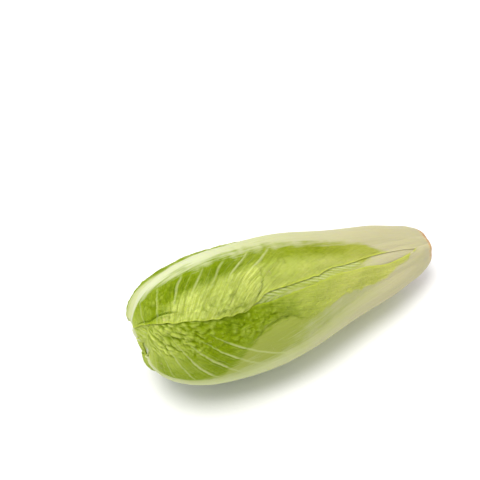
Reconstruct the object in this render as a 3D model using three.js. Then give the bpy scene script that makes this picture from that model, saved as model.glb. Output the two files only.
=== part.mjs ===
// Romaine heart, lying on its side: a cut stem and a bud with seventeen leaves wrapped round them.
//
// Millimetres, +Z up. The long axis runs along X with the cut end at +X, the underside is pressed
// flat at Z = 0, and the origin is at the bottom centre of the box round the whole heart.
//
// Leaves are laid one on another from the inside out, as they grow. Each is a sheet in "wrap
// coordinates": t runs from the cut (0) to the crown (1), theta goes round the head, and the height
// h is measured from a spindle along its middle. Towards the crown the height direction leans
// forwards, so that leaf tips fold over the end. A height field records the top of what has been
// laid so far, and the next leaf is draped over it.
import * as THREE from "three";

// Driving dimensions
const SPINDLE_LENGTH = 185;
const SPINDLE_EASE = 1.8; // how quickly the spindle slows down towards the crown
const LEAN_START = 0.3; // t where the height direction begins to lean forwards
const LEAN_EASE = 2.4;
const SWEEP_EASE = 2.2; // a midrib turns mostly near the crown
const LYING_TILT = 8; // degrees that the crown end is raised when the heart rests on its side
const FACING_ROLL = 45; // degrees above -Y that theta = 0 faces
const PRESSED_FLAT = 2; // depth of the flat on the underside
const LEAF_GAP = [[0, 1.3], [0.2, 1.15], [0.8, 1.15], [1, 1.7]]; // air between two leaves, against t
const BLADE_THICKNESS = 0.7;
const STEM_RADIUS = 10; // at the cut
const STEM_PROFILE = [
  [0, 0.94], [0.004, 1.01], [0.01, 1.06], [0.02, 1.16], [0.0275, 1.12], [0.036, 0.96], [0.045, 0.82],
  [0.06, 0.75], [0.1, 0.59], [0.18, 0.31], [0.22, 0],
];
const TIGHT_FOOT = 0.2; // up to this t the leaves close in round the stem
const STEM_TIP_T = 0.22; // where the stem ends inside the head
const BUD_RADIUS = 5; // the tight bud at the core
const BUD_FROM = 0.24;
const BUD_TO = 0.62;
const CROWN_SLANT = 0.1; // how much further the crown stands out on the side of outer_leaf_1

// Height of the finished head above its spindle, against t
const HEAD_PROFILE = [
  [0, 11.5], [0.02, 16], [0.055, 20], [0.11, 23.6], [0.17, 26.8], [0.24, 30], [0.31, 34],
  [0.38, 38.4], [0.46, 41.5], [0.55, 43], [0.65, 43.8], [0.75, 44], [0.85, 42.4], [0.93, 38], [1, 33.5],
];
// Half width of a leaf as a share of its widest, from its foot (0) to its tip (1)
const LEAF_OUTLINE = [
  [0, 0.16], [0.06, 0.3], [0.14, 0.42], [0.25, 0.56], [0.4, 0.76], [0.55, 0.94], [0.68, 1],
  [0.8, 0.94], [0.9, 0.74], [0.96, 0.46], [1, 0.06],
];
// Thickness and half width of a midrib as shares of their largest, from foot to tip
const RIB_DEPTH = [[0, 0.2], [0.06, 0.5], [0.16, 1], [0.45, 0.85], [0.7, 0.5], [1, 0.12]];
const RIB_SPREAD = [[0, 0.5], [0.1, 0.9], [0.25, 1], [0.5, 0.82], [0.75, 0.6], [0.9, 0.36], [1, 0.16]];

// The leaves that show, outermost first. angle is where the midrib stands at the foot and sweep how
// far it has turned by the tip, in degrees; from and to are t at foot and tip. fore and aft are the
// blade's extent from the midrib towards smaller and larger theta: the widest, in mm, for a leaf
// with the plain outline, or degrees against t for one whose margins show. rib is the midrib's
// depth, and share how far out the leaf stands, as a share of the head's own profile.
const OUTER_LEAVES = [
  {
    name: "outer_leaf_1", angle: 62, sweep: 6, from: 0.005, to: 0.945, rib: 5.6, share: 1,
    fore: [
      [0, 57.3], [0.03, 57.3], [0.05, 56], [0.1, 50], [0.17, 46], [0.31, 48], [0.4, 52], [0.5, 53],
      [0.56, 54], [0.6, 59], [0.64, 63], [0.68, 62], [0.77, 57], [0.81, 56], [0.85, 51], [0.88, 44],
      [0.91, 34], [0.93, 22], [0.945, 6],
    ],
    aft: [[0, 50], [0.1, 62], [0.3, 64], [0.5, 74], [0.7, 82], [0.83, 80], [0.9, 60], [0.945, 8]],
  },
  {
    name: "outer_leaf_2", angle: -52, sweep: -48, from: 0.005, to: 0.94, rib: 5.4, share: 0.985,
    fore: [[0, 54], [0.1, 76], [0.3, 90], [0.5, 92], [0.7, 84], [0.85, 70], [0.91, 52], [0.94, 20]],
    aft: [
      [0, 55.4], [0.03, 55.4], [0.08, 53.5], [0.15, 51], [0.24, 60], [0.46, 66], [0.58, 71], [0.7, 84],
      [0.8, 104], [0.85, 116], [0.89, 120], [0.915, 116], [0.93, 100], [0.94, 62],
    ],
  },
  {
    name: "outer_leaf_3", angle: 154, sweep: 8, from: 0.008, to: 0.95, rib: 5, share: 0.955,
    fore: [[0, 44], [0.1, 60], [0.3, 66], [0.5, 74], [0.7, 80], [0.85, 84], [0.92, 62], [0.95, 12]],
    aft: [[0, 44], [0.1, 58], [0.3, 62], [0.5, 70], [0.7, 78], [0.85, 80], [0.92, 60], [0.95, 12]],
  },
  {
    name: "outer_leaf_4", angle: 4, sweep: 8, from: 0.016, to: 0.985, rib: 2.6, share: 0.965,
    fore: [[0, 34], [0.1, 48], [0.3, 56], [0.5, 68], [0.7, 82], [0.85, 100], [0.95, 120], [0.985, 30]],
    aft: [[0, 34], [0.1, 48], [0.3, 56], [0.5, 68], [0.7, 82], [0.85, 100], [0.95, 120], [0.985, 30]],
  },
  {
    name: "outer_leaf_5", angle: -124, sweep: -8, from: 0.017, to: 0.96, rib: 4.6, share: 0.93,
    fore: [[0, 34], [0.1, 50], [0.3, 58], [0.5, 70], [0.7, 80], [0.85, 82], [0.93, 70], [0.96, 16]],
    aft: [[0, 34], [0.1, 50], [0.3, 58], [0.5, 70], [0.7, 84], [0.85, 96], [0.93, 84], [0.96, 16]],
  },
];
// The twelve inner leaves follow a rule, against their number: each starts 137 degrees further round
// than the one outside it, a little higher up the stem, and is narrower, thinner and further in.
const INNER_LEAVES = 12;
const INNER_FIRST_ANGLE = 98;
const GROWTH_ANGLE = -137;
const INNER_FOOT = [[0, 0.025], [11, 0.135]];
const INNER_TIP = [[0, 0.975], [5, 0.88], [11, 0.66]];
const INNER_WIDTH = [[0, 48], [3, 42], [11, 11]];
const INNER_RIB = [[0, 3.4], [11, 1.2]];
const INNER_SHARE = [[0, 0.84], [4, 0.6], [11, 0.16]];

// The height field: rows of constant t and columns of constant theta
const ROWS = 97;
const COLUMNS = 128;
const DRAPE_PASSES = 40;
// A sheet stays clear of the margins and tips under it by one cell
const MARGIN_CLEARANCE = (2 * Math.PI) / COLUMNS;
const TIP_CLEARANCE = 1 / (ROWS - 1);

const radians = THREE.MathUtils.degToRad;

// A smooth curve through [x, y] points, which never overshoots them
function curveThrough(points, x) {
  let i = points.findIndex(([px]) => px > x) - 1;
  if (i < 0) i = x <= points[0][0] ? 0 : points.length - 2;
  const slope = (k) => (points[k + 1][1] - points[k][1]) / (points[k + 1][0] - points[k][0]);
  const tangent = (k) => {
    if (k === 0) return slope(0);
    if (k === points.length - 1) return slope(k - 1);
    const [a, b] = [slope(k - 1), slope(k)];
    return a * b <= 0 ? 0 : (2 * a * b) / (a + b);
  };
  const [[x0, y0], [x1, y1]] = [points[i], points[i + 1]];
  const width = x1 - x0;
  const q = THREE.MathUtils.clamp((x - x0) / width, 0, 1);
  const [q2, q3] = [q * q, q * q * q];
  return (
    y0 * (2 * q3 - 3 * q2 + 1) + y1 * (3 * q2 - 2 * q3) +
    width * (tangent(i) * (q3 - 2 * q2 + q) + tangent(i + 1) * (q3 - q2))
  );
}

// The spindle point at t and the direction in which heights are measured there
function spindleAt(t) {
  const leaned = Math.max(0, (t - LEAN_START) / (1 - LEAN_START)) ** LEAN_EASE;
  return {
    along: SPINDLE_LENGTH * (1 - (1 - t) ** SPINDLE_EASE),
    lean: (Math.PI / 2) * leaned,
  };
}

// Wrap coordinates to a point of the lying head, before it is set down on Z = 0
const roll = radians(FACING_ROLL);
const tilt = radians(LYING_TILT);
function wrapPoint(t, theta, h) {
  const { along, lean } = spindleAt(t);
  const x = -(along + h * Math.sin(lean));
  const out = h * Math.cos(lean);
  const y = -out * Math.cos(theta + roll);
  const z = out * Math.sin(theta + roll);
  return new THREE.Vector3(
    x * Math.cos(tilt) + z * Math.sin(tilt),
    y,
    -x * Math.sin(tilt) + z * Math.cos(tilt),
  );
}

// A field over the whole wrap, as one array
class Field {
  constructor(valueAt) {
    this.cells = new Float64Array(ROWS * COLUMNS);
    for (let r = 0; r < ROWS; r++)
      for (let c = 0; c < COLUMNS; c++)
        this.cells[r * COLUMNS + c] = valueAt(r / (ROWS - 1), (c / COLUMNS) * 2 * Math.PI, r * COLUMNS + c);
  }
  at(t, theta) {
    const row = THREE.MathUtils.clamp(t, 0, 1) * (ROWS - 1);
    const turn = theta / (2 * Math.PI);
    const column = (turn - Math.floor(turn)) * COLUMNS;
    const r = Math.min(Math.floor(row), ROWS - 2);
    const c = Math.floor(column) % COLUMNS;
    const next = (c + 1) % COLUMNS;
    const [fr, fc] = [row - r, column - Math.floor(column)];
    const [a, b] = [r * COLUMNS, (r + 1) * COLUMNS];
    return (
      (this.cells[a + c] * (1 - fc) + this.cells[a + next] * fc) * (1 - fr) +
      (this.cells[b + c] * (1 - fc) + this.cells[b + next] * fc) * fr
    );
  }
  // Stretches a sheet over this field: it touches the high places and bridges the low ones
  draped() {
    let sheet = this.cells.slice();
    for (let pass = 0; pass < DRAPE_PASSES; pass++) {
      const eased = new Float64Array(sheet.length);
      for (let r = 0; r < ROWS; r++) {
        const [up, down] = [Math.min(r + 1, ROWS - 1), Math.max(r - 1, 0)];
        const lengthwise = 0.5 * Math.min(1, r / (ROWS - 1) / TIGHT_FOOT);
        for (let c = 0; c < COLUMNS; c++) {
          const [left, right] = [(c + COLUMNS - 1) % COLUMNS, (c + 1) % COLUMNS];
          const mean =
            ((sheet[up * COLUMNS + c] + sheet[down * COLUMNS + c]) * lengthwise +
              (sheet[r * COLUMNS + left] + sheet[r * COLUMNS + right]) * (1 - lengthwise)) / 2;
          eased[r * COLUMNS + c] = Math.max(this.cells[r * COLUMNS + c], mean);
        }
      }
      sheet = eased;
    }
    const result = new Field(() => 0);
    result.cells = sheet;
    return result;
  }
}

// All the leaves, outermost first
const LEAVES = [...OUTER_LEAVES];
for (let i = 0; i < INNER_LEAVES; i++) {
  const width = curveThrough(INNER_WIDTH, i);
  LEAVES.push({
    name: i < 6 ? `middle_leaf_${i + 1}` : `heart_leaf_${i - 5}`,
    angle: INNER_FIRST_ANGLE + i * GROWTH_ANGLE, sweep: 4,
    from: curveThrough(INNER_FOOT, i), to: curveThrough(INNER_TIP, i),
    fore: width, aft: width,
    rib: curveThrough(INNER_RIB, i), share: curveThrough(INNER_SHARE, i),
  });
}

const headHeight = (t) => curveThrough(HEAD_PROFILE, t);
const stemHeight = (t) => STEM_RADIUS * curveThrough(STEM_PROFILE, t);
const budHeight = (t) => {
  const u = THREE.MathUtils.clamp((t - BUD_FROM) / (BUD_TO - BUD_FROM), 0, 1);
  return BUD_RADIUS * Math.sin(Math.PI * u ** 0.8) ** 0.7;
};
const leafShare = (leaf, t) => (t - leaf.from) / (leaf.to - leaf.from);
const ribAngle = (leaf, t) =>
  radians(leaf.angle + leaf.sweep * Math.max(leafShare(leaf, t), 0) ** SWEEP_EASE);

// Half angles of the blade at t, to the fore and the aft margin
function marginAngles(leaf, t) {
  const u = leafShare(leaf, t);
  const { lean } = spindleAt(t);
  const girth = Math.max(headHeight(t) * leaf.share * Math.cos(lean), 4);
  const widest = 0.92 * Math.PI;
  const reach = (side) =>
    Array.isArray(side) ? radians(curveThrough(side, t)) : (side * curveThrough(LEAF_OUTLINE, u)) / girth;
  return { fore: Math.min(reach(leaf.fore), widest), aft: Math.min(reach(leaf.aft), widest) };
}

// Thickness of a leaf at t, at an angle from its midrib
function leafThickness(leaf, t, fromRib) {
  const u = leafShare(leaf, t);
  const girth = headHeight(t) * leaf.share * Math.cos(spindleAt(t).lean);
  const spread = 2.5 * leaf.rib * curveThrough(RIB_SPREAD, u);
  const across = Math.min(Math.abs(fromRib * girth) / spread, 1);
  const crown = (1 - across * across) ** 1.3;
  return BLADE_THICKNESS + leaf.rib * curveThrough(RIB_DEPTH, u) * crown;
}

// Where the head's surface stands before the midribs rise from it
function envelope(t, theta) {
  const crown = Math.max(0, (t - 0.6) / 0.4);
  const side = Math.cos(theta - radians(LEAVES[0].angle));
  return headHeight(t) * (1 + CROWN_SLANT * crown * side) - 3 * Math.min(1, t / 0.1);
}

// Lays the leaves from the inside out. Each gets the field that it lies on.
function layLeaves() {
  let top = new Field((t) => Math.max(stemHeight(t), budHeight(t)));
  const laid = new Map();
  for (const leaf of [...LEAVES].reverse()) {
    const held = new Field((t, theta, k) =>
      Math.max(top.cells[k] + curveThrough(LEAF_GAP, t), envelope(t, theta) * leaf.share - BLADE_THICKNESS),
    );
    const under = held.draped();
    laid.set(leaf.name, under);
    top = new Field((t, theta, k) => {
      if (t < leaf.from || t > leaf.to + TIP_CLEARANCE) return top.cells[k];
      const turn = theta - ribAngle(leaf, t);
      const fromRib = turn - 2 * Math.PI * Math.round(turn / (2 * Math.PI));
      const { fore, aft } = marginAngles(leaf, t);
      if (fromRib < -fore - MARGIN_CLEARANCE || fromRib > aft + MARGIN_CLEARANCE) return top.cells[k];
      return under.cells[k] + leafThickness(leaf, t, fromRib);
    });
  }
  return { laid, top };
}

// A closed sheet from two grids of points, the outer one and the inner one
function sheetGeometry(outer, inner) {
  const [rows, columns] = [outer.length, outer[0].length];
  const positions = [];
  for (const grid of [outer, inner])
    for (const row of grid) for (const p of row) positions.push(p.x, p.y, p.z);
  const id = (side, r, c) => (side * rows + r) * columns + c;
  const index = [];
  const quad = (a, b, c, d) => index.push(a, b, c, a, c, d);
  for (let r = 0; r + 1 < rows; r++)
    for (let c = 0; c + 1 < columns; c++) {
      quad(id(0, r, c), id(0, r, c + 1), id(0, r + 1, c + 1), id(0, r + 1, c));
      quad(id(1, r, c), id(1, r + 1, c), id(1, r + 1, c + 1), id(1, r, c + 1));
    }
  for (let r = 0; r + 1 < rows; r++) {
    quad(id(0, r, 0), id(0, r + 1, 0), id(1, r + 1, 0), id(1, r, 0));
    const c = columns - 1;
    quad(id(0, r + 1, c), id(0, r, c), id(1, r, c), id(1, r + 1, c));
  }
  for (let c = 0; c + 1 < columns; c++) {
    quad(id(0, 0, c + 1), id(0, 0, c), id(1, 0, c), id(1, 0, c + 1));
    const r = rows - 1;
    quad(id(0, r, c), id(0, r, c + 1), id(1, r, c + 1), id(1, r, c));
  }
  return new THREE.BufferGeometry()
    .setAttribute("position", new THREE.Float32BufferAttribute(positions, 3))
    .setIndex(index);
}

const leafGreen = (name) => {
  if (name.startsWith("outer")) return new THREE.Color(0.55, 0.68, 0.22);
  if (name.startsWith("middle")) return new THREE.Color(0.68, 0.78, 0.34);
  return new THREE.Color(0.82, 0.84, 0.48);
};

function leafMesh(leaf, under, settle) {
  const outermost = leaf.name.startsWith("outer");
  const steps = outermost ? 24 : leaf.name.startsWith("middle") ? 12 : 8;
  const across = outermost ? 20 : 8;
  const [outer, inner] = [[], []];
  for (let r = 0; r <= steps; r++) {
    const even = r / steps;
    const u = 0.5 * even + 0.25 * (1 - Math.cos(Math.PI * even)); // closer together at foot and tip
    const t = leaf.from + u * (leaf.to - leaf.from);
    const { fore, aft } = marginAngles(leaf, t);
    const [outerRow, innerRow] = [[], []];
    for (let c = 0; c <= across; c++) {
      const v = (2 * c) / across - 1;
      const spaced = Math.sign(v) * Math.abs(v) ** 1.3; // closer together over the midrib
      const fromRib = spaced * (v < 0 ? fore : aft);
      const theta = ribAngle(leaf, t) + fromRib;
      const low = under.at(t, theta);
      outerRow.push(settle(t, theta, low + leafThickness(leaf, t, fromRib)));
      innerRow.push(settle(t, theta, low));
    }
    outer.push(outerRow);
    inner.push(innerRow);
  }
  const material = new THREE.MeshStandardMaterial({
    color: leafGreen(leaf.name), roughness: 0.5, metalness: 0,
  });
  const mesh = new THREE.Mesh(sheetGeometry(outer, inner), material);
  mesh.name = leaf.name;
  return mesh;
}

// A solid of revolution about the spindle, its radius given against t
function coreMesh(name, radiusAt, [from, to], [rings, sides], color, settle) {
  const profile = [new THREE.Vector2(0, from)];
  for (let r = 0; r < rings; r++) {
    const t = from + (r / rings) * (to - from);
    if (radiusAt(t) > 0) profile.push(new THREE.Vector2(radiusAt(t), t));
  }
  profile.push(new THREE.Vector2(0, to));
  const geometry = new THREE.LatheGeometry(profile, sides);
  const position = geometry.getAttribute("position");
  for (let i = 0; i < position.count; i++) {
    const [a, t, b] = [position.getX(i), position.getY(i), position.getZ(i)];
    const p = settle(t, Math.atan2(a, b), Math.hypot(a, b));
    position.setXYZ(i, p.x, p.y, p.z);
  }
  const material = new THREE.MeshStandardMaterial({ color, roughness: 0.6, metalness: 0 });
  const mesh = new THREE.Mesh(geometry, material);
  mesh.name = name;
  return mesh;
}

// Where the finished head would reach below the floor, everything under that spot is pressed in
function floorPress(top) {
  let lowest = Infinity;
  new Field((t, theta, k) => {
    lowest = Math.min(lowest, wrapPoint(t, theta, top.cells[k]).z);
    return 0;
  });
  const floor = lowest + PRESSED_FLAT;
  const press = new Field((t, theta, k) => {
    const [bottom, full] = [wrapPoint(t, theta, 0).z, wrapPoint(t, theta, top.cells[k]).z];
    return full >= floor ? 1 : (bottom - floor) / (bottom - full);
  });
  const snap = 0.3; // what ends this close to the floor lies on it
  return (t, theta, h) => {
    const p = wrapPoint(t, theta, h * press.at(t, theta));
    p.z -= floor;
    if (p.z < snap) p.z = 0;
    return p;
  };
}

const { laid, top } = layLeaves();
const settle = floorPress(top);
const heart = new THREE.Group();
heart.add(coreMesh("stem", stemHeight, [0, STEM_TIP_T], [12, 24], 0xe9dcb0, settle));
heart.add(coreMesh("heart_bud", budHeight, [BUD_FROM, BUD_TO], [12, 16], 0xe9e79a, settle));
for (const leaf of LEAVES) heart.add(leafMesh(leaf, laid.get(leaf.name), settle));

const box = new THREE.Box3().setFromObject(heart);
const centre = box.getCenter(new THREE.Vector3());
heart.position.set(-centre.x, -centre.y, -box.min.z);

export default heart;
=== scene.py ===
"""Romaine heart lying on its side: every leaf, the cut stem, the bundle ends on it and the bud, at
full detail, with their finishes.

Sizes are in millimetres, as the construction's are, and meshes are written in metres. Leaves are
laid one on another from the inside out, in wrap coordinates: t runs from the cut (0) to the crown
(1), theta goes round the head, and heights are measured from a spindle along its middle, whose
height direction leans forwards at the crown. On a leaf, y is the way along from the foot and s the
way across from the midrib, both in millimetres.
"""
import math

import bpy
import numpy as np
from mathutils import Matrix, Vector


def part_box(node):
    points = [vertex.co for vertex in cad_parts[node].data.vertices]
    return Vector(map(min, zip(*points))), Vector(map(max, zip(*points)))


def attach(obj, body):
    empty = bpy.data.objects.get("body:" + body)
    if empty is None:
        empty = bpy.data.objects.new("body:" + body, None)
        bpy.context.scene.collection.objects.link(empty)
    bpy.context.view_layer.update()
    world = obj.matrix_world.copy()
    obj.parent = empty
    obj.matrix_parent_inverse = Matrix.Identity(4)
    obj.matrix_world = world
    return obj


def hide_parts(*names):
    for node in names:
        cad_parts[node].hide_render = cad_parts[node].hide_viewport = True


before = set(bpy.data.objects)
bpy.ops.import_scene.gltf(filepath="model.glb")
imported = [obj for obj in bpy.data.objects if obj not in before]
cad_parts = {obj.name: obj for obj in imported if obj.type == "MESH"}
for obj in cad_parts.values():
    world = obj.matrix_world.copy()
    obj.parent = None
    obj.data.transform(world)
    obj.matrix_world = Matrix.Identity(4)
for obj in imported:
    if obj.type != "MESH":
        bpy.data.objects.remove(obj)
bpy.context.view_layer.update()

MM = 0.001

# ---------------------------------------------------------------- the head's construction
SPINDLE_LENGTH = 185
SPINDLE_EASE = 1.8  # how quickly the spindle slows down towards the crown
LEAN_START = 0.3  # t where the height direction begins to lean forwards
LEAN_EASE = 2.4
SWEEP_EASE = 2.2  # a midrib turns mostly near the crown
LYING_TILT = math.radians(8)  # how far the crown end is raised when the heart rests on its side
FACING_ROLL = math.radians(45)  # how far above -Y theta = 0 faces
LEAF_GAP = [(0, 1.3), (0.2, 1.15), (0.8, 1.15), (1, 1.7)]  # air between two leaves, against t
BLADE_THICKNESS = 0.7
STEM_RADIUS = 10  # at the cut
STEM_PROFILE = [
    (0, 0.94), (0.004, 1.01), (0.01, 1.06), (0.02, 1.16), (0.0275, 1.12), (0.036, 0.96), (0.045, 0.82),
    (0.06, 0.75), (0.1, 0.59), (0.18, 0.31), (0.22, 0),
]
STEM_TIP_T = 0.22  # where the stem ends inside the head
POLE_RADIUS = 0.05  # of the last ring before a solid closes
TIGHT_FOOT = 0.2  # up to this t the leaves close in round the stem
BUD_RADIUS = 5
BUD_FROM, BUD_TO = 0.24, 0.62
CROWN_START = 0.6
CROWN_SLANT = 0.1  # how much further the crown stands out on the side of outer_leaf_1
RIBS_RISE, RISEN_BY = 3, 0.1  # how far blades lie under the head's profile, and t where they first do
LEAST_GIRTH = 4
WIDEST = 0.92 * math.pi  # the largest half angle of a blade
# Height of the finished head above its spindle, against t
HEAD_PROFILE = [
    (0, 11.5), (0.02, 16), (0.055, 20), (0.11, 23.6), (0.17, 26.8), (0.24, 30), (0.31, 34),
    (0.38, 38.4), (0.46, 41.5), (0.55, 43), (0.65, 43.8), (0.75, 44), (0.85, 42.4), (0.93, 38), (1, 33.5),
]
# Half width of a leaf as a share of its widest, from its foot (0) to its tip (1)
LEAF_OUTLINE = [
    (0, 0.16), (0.06, 0.3), (0.14, 0.42), (0.25, 0.56), (0.4, 0.76), (0.55, 0.94), (0.68, 1),
    (0.8, 0.94), (0.9, 0.74), (0.96, 0.46), (1, 0.06),
]
# Depth and half width of a midrib as shares of their largest, from foot to tip
RIB_DEPTH = [(0, 0.2), (0.06, 0.5), (0.16, 1), (0.45, 0.85), (0.7, 0.5), (1, 0.12)]
RIB_SPREAD = [(0, 0.5), (0.1, 0.9), (0.25, 1), (0.5, 0.82), (0.75, 0.6), (0.9, 0.36), (1, 0.16)]
RIB_HALF_WIDTH = 2.5  # the largest, for each mm of the midrib's depth
RIB_ROUNDED = 1.3  # how softly the midrib's sides run out into the blade

# The leaves that show, outermost first, nearly as in the construction: fore and aft are the margins
# in degrees from the midrib against t. The first two lap a little more at the foot, and the tips of
# outer_leaf_4 and of the first middle leaf reach a little further, to close the crown. pale_fore and
# pale_aft are how far the pale flesh of the petiole and midrib reaches across, in mm against t,
# before the green blade begins. tone is how green the blade is beside the midrib, and far_tone
# nearer its margins. verdant is how green the flesh is and ragged how torn its edge, wrinkled how
# wrinkled the blade is, and crest_highlight how far a painted highlight whitens the crest of the
# midrib towards the crown. veins says how far apart the side veins are, where one of them springs
# from and how far across they show, in mm, and the stretch of midrib with clear ones. detail is half
# the mesh's rows, and half its columns on each side of the midrib.
OUTER_LEAVES = [
    dict(
        name="outer_leaf_1", angle=62, sweep=6, foot=0.005, tip=0.945, rib=5.6, share=1,
        fore=[(0, 58), (0.035, 58), (0.055, 56), (0.1, 50), (0.17, 46), (0.31, 48), (0.4, 52),
              (0.5, 53), (0.56, 54), (0.6, 59), (0.64, 63), (0.68, 62), (0.77, 57), (0.81, 56),
              (0.85, 51), (0.88, 44), (0.91, 34), (0.93, 22), (0.945, 6)],
        aft=[(0, 50), (0.1, 62), (0.3, 64), (0.5, 74), (0.7, 82), (0.83, 80), (0.9, 60), (0.945, 8)],
        pale_fore=[(0, 30), (0.12, 24), (0.165, 18), (0.2, 12.5), (0.3, 10.5), (0.45, 9), (0.6, 7),
                   (0.7, 5.8), (0.78, 3.8), (0.85, 0.4), (0.945, -1.5)],
        pale_aft=[(0, 30), (0.1, 20), (0.3, 10), (0.55, 7), (0.75, 7.5), (0.85, 11), (0.92, 9),
                  (0.945, 1)],
        tone=[(0, 0.1), (0.2, 0.6), (0.35, 0.95), (0.5, 0.9), (0.6, 0.95), (0.7, 1), (0.85, 1),
              (0.95, 0.4)],
        far_tone=[(0, 0), (0.3, 0.1), (0.45, 0.3), (0.52, 0.3), (0.57, 0), (0.8, 0), (0.95, 0.2)],
        verdant=[(0, 0), (0.3, 0.1), (0.5, 0.35), (0.7, 0.45), (0.85, 0.6), (0.95, 0.8)],
        ragged=0.25, veins=dict(spacing=19, first=122, reach=30, springs=(0.4, 0.68)), wrinkled=1,
        detail=(150, 62),
    ),
    dict(
        name="outer_leaf_2", angle=-52, sweep=-48, foot=0.005, tip=0.94, rib=5.4, share=0.985,
        fore=[(0, 54), (0.1, 76), (0.3, 90), (0.5, 92), (0.7, 84), (0.85, 70), (0.91, 52), (0.94, 20)],
        aft=[(0, 66), (0.04, 66), (0.075, 56), (0.1, 52.8), (0.15, 51), (0.24, 60), (0.46, 66),
             (0.58, 71), (0.7, 84), (0.8, 104), (0.85, 116), (0.89, 120), (0.915, 116), (0.93, 100),
             (0.94, 62)],
        pale_fore=[(0, 30), (0.1, 14), (0.16, 5), (0.3, 4), (0.4, 9), (0.6, 11), (0.75, 8), (0.9, 4)],
        pale_aft=[(0, 30), (0.08, 20), (0.13, 17), (0.2, 15.5), (0.25, 18), (0.3, 22), (0.35, 24),
                  (0.4, 25), (0.47, 30), (0.5, 35), (0.55, 39), (0.58, 38.5), (0.605, 35), (0.64, 27),
                  (0.68, 18), (0.72, 11.5), (0.8, 8.5), (0.88, 5)],
        tone=[(0, 0.1), (0.3, 0.3), (0.5, 0.8), (0.62, 1), (0.78, 1), (0.87, 0.75), (0.94, 0.35)],
        far_tone=[(0, 0), (0.15, 0.05), (0.3, 0.25), (0.42, 0.45), (0.5, 0.68), (0.56, 0.92), (0.66, 1),
                  (0.74, 1), (0.8, 0.85), (0.85, 0.6), (0.94, 0.45)],
        verdant=[(0, 0), (0.12, 0.05), (0.25, 0.35), (0.35, 0.5), (0.45, 0.8), (0.55, 1.05),
                 (0.75, 1.1), (0.9, 0.7)],
        ragged=1, veins=dict(spacing=17, first=122.5, reach=52, springs=(0.43, 0.68)), wrinkled=0.35,
        crest_highlight=0, detail=(150, 62),
    ),
    dict(
        name="outer_leaf_3", angle=154, sweep=8, foot=0.008, tip=0.95, rib=5, share=0.955,
        fore=[(0, 44), (0.1, 60), (0.3, 66), (0.5, 74), (0.7, 80), (0.85, 84), (0.92, 62), (0.95, 12)],
        aft=[(0, 44), (0.1, 58), (0.3, 62), (0.5, 70), (0.7, 78), (0.85, 80), (0.92, 60), (0.95, 12)],
        pale_fore=[(0, 30), (0.1, 20), (0.3, 12), (0.55, 9), (0.75, 7), (0.9, 4)],
        pale_aft=[(0, 30), (0.1, 20), (0.3, 12), (0.55, 9), (0.75, 7), (0.9, 4)],
        tone=[(0, 0.2), (0.3, 0.5), (0.6, 0.8), (0.95, 0.4)],
        far_tone=[(0, 0.1), (0.3, 0.3), (0.6, 0.5), (0.95, 0.15)],
        veins=dict(spacing=17, first=0, reach=50, springs=(0.4, 0.85)), detail=(140, 54),
    ),
    dict(
        name="outer_leaf_4", angle=4, sweep=8, foot=0.016, tip=0.99, rib=2.6, share=0.965,
        fore=[(0, 34), (0.1, 48), (0.3, 56), (0.5, 68), (0.7, 82), (0.85, 100), (0.95, 120), (0.99, 112)],
        aft=[(0, 34), (0.1, 48), (0.3, 56), (0.5, 68), (0.7, 82), (0.85, 100), (0.95, 120), (0.99, 112)],
        pale_fore=[(0, 30), (0.1, 14), (0.25, 6), (0.38, 2), (0.48, -1), (0.88, -1), (0.94, -5)],
        pale_aft=[(0, 30), (0.1, 14), (0.17, 8), (0.21, 4), (0.27, 1), (0.4, -1), (0.88, -1), (0.94, -5)],
        tone=[(0, 0.2), (0.3, 0.65), (0.5, 0.7), (0.95, 0.45)],
        far_tone=[(0, 0.3), (0.5, 0.6), (0.95, 0.3)],
        verdant=[(0, 0), (0.17, 0.1), (0.22, 1), (0.45, 1.7), (0.95, 1.7)],
        veins=dict(spacing=6, first=0, reach=50, springs=(0.2, 0.6)), detail=(150, 54),
    ),
    dict(
        name="outer_leaf_5", angle=-124, sweep=-8, foot=0.017, tip=0.96, rib=4.6, share=0.93,
        fore=[(0, 34), (0.1, 50), (0.3, 58), (0.5, 70), (0.7, 80), (0.85, 82), (0.93, 70), (0.96, 16)],
        aft=[(0, 34), (0.1, 50), (0.3, 58), (0.5, 70), (0.7, 84), (0.85, 96), (0.93, 84), (0.96, 16)],
        pale_fore=[(0, 30), (0.1, 16), (0.3, 10), (0.55, 8), (0.75, 6), (0.9, 3)],
        pale_aft=[(0, 30), (0.1, 16), (0.3, 10), (0.55, 8), (0.75, 6), (0.9, 3)],
        tone=[(0, 0.2), (0.5, 0.5), (0.95, 0.3)], far_tone=[(0, 0.1), (0.5, 0.4), (0.95, 0.1)],
        veins=dict(spacing=16, first=0, reach=50, springs=(0.4, 0.85)), detail=(110, 44),
    ),
]

# The leaves under those, which grow round the stem in one spiral; the rest is against a leaf's place
# in it, from 0
INNER_LEAVES = 12
MIDDLE_LEAVES = 6  # the others are heart leaves
INNER_FIRST_ANGLE = 98
GROWTH_ANGLE = -137
INNER_FOOT = [(0, 0.025), (11, 0.135)]
INNER_TIP = [(0, 0.998), (1, 0.96), (5, 0.88), (11, 0.66)]
INNER_WIDTH = [(0, 48), (3, 42), (11, 11)]
INNER_RIB = [(0, 3.4), (11, 1.2)]
INNER_SHARE = [(0, 0.84), (4, 0.6), (11, 0.16)]
INNER_TONE = [(0, 0.35), (5, 0.15), (11, 0)]

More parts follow.
